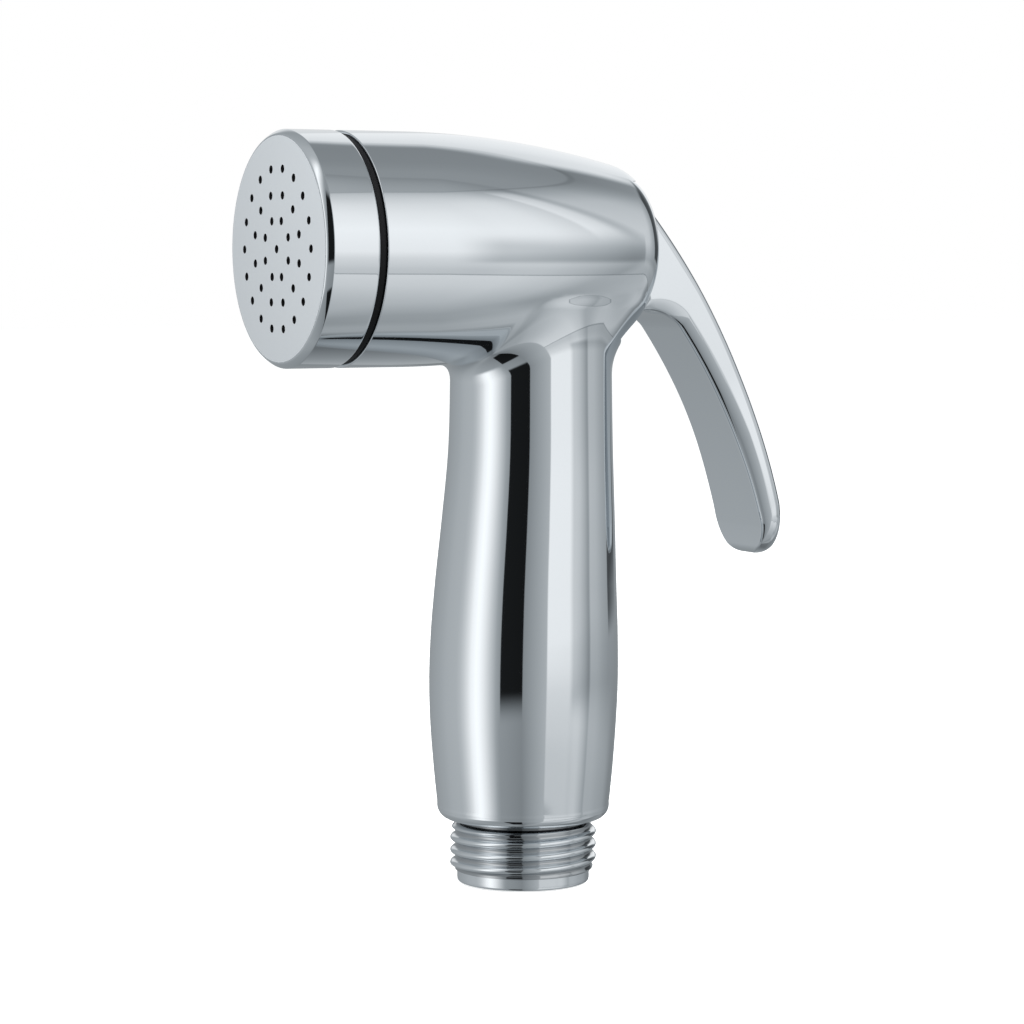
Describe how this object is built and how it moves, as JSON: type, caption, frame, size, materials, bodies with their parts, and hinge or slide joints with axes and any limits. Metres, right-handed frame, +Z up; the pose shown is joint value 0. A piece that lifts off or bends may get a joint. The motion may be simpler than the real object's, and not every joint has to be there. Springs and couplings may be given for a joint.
{
  "type": "handheld bidet shower",
  "caption": "Handheld bidet shower: barrel head with a perforated spray cap, tapered grip, rear squeeze lever working a push valve, and a threaded hose nipple below.",
  "frame": {"origin": "centre of the hose nipple's end face", "axes": "+Z up the grip's axis, -X the way the spray leaves, +X towards the lever"},
  "size_m": [0.0781, 0.0326, 0.1065],
  "materials": {
    "chrome_body": "polished",
    "chrome_cap": "polished",
    "chrome_lever": "polished",
    "chrome_nipple": "polished",
    "black_rubber": "matt",
    "white_plastic": "satin",
    "turned_brass": "turned",
    "spring_steel": "bright"
  },
  "bodies": {
    "housing": {"body_casting": "chrome_body", "spray_cap": "chrome_cap", "cap_seal_ring": "black_rubber", "flow_diffuser": "white_plastic", "valve_sleeve": "turned_brass", "sleeve_gasket": "black_rubber", "sleeve_rear_seal": "black_rubber", "spring_retainer": "spring_steel", "return_spring": "spring_steel", "stem_seal": "black_rubber", "stem_wiper": "black_rubber", "lever_pin": "spring_steel", "inlet_nipple": "chrome_nipple", "nipple_gasket": "black_rubber", "inlet_filter": "spring_steel"},
    "trigger": {"lever": "chrome_lever"},
    "spool": {"valve_spool": "turned_brass", "valve_washer": "black_rubber", "thrust_button": "white_plastic"}
  },
  "joints": [
    {"name": "lever_hinge", "type": "hinge", "parent": "housing", "child": "trigger", "pos_m": [0.013, 0, 0.097], "axis": [0, 1, 0], "range_deg": [0, 15], "stiffness_Nm_per_rad": 0.13, "springref_deg": -29.79},
    {"name": "valve_slide", "type": "slide", "parent": "housing", "child": "spool", "axis": [-1, 0, 0], "range_m": [0, 0.0018], "deforming": ["return_spring"]}
  ],
  "couplings": [
    {"joint": "valve_slide", "follows": "lever_hinge", "m_per_rad": 0.0068}
  ]
}
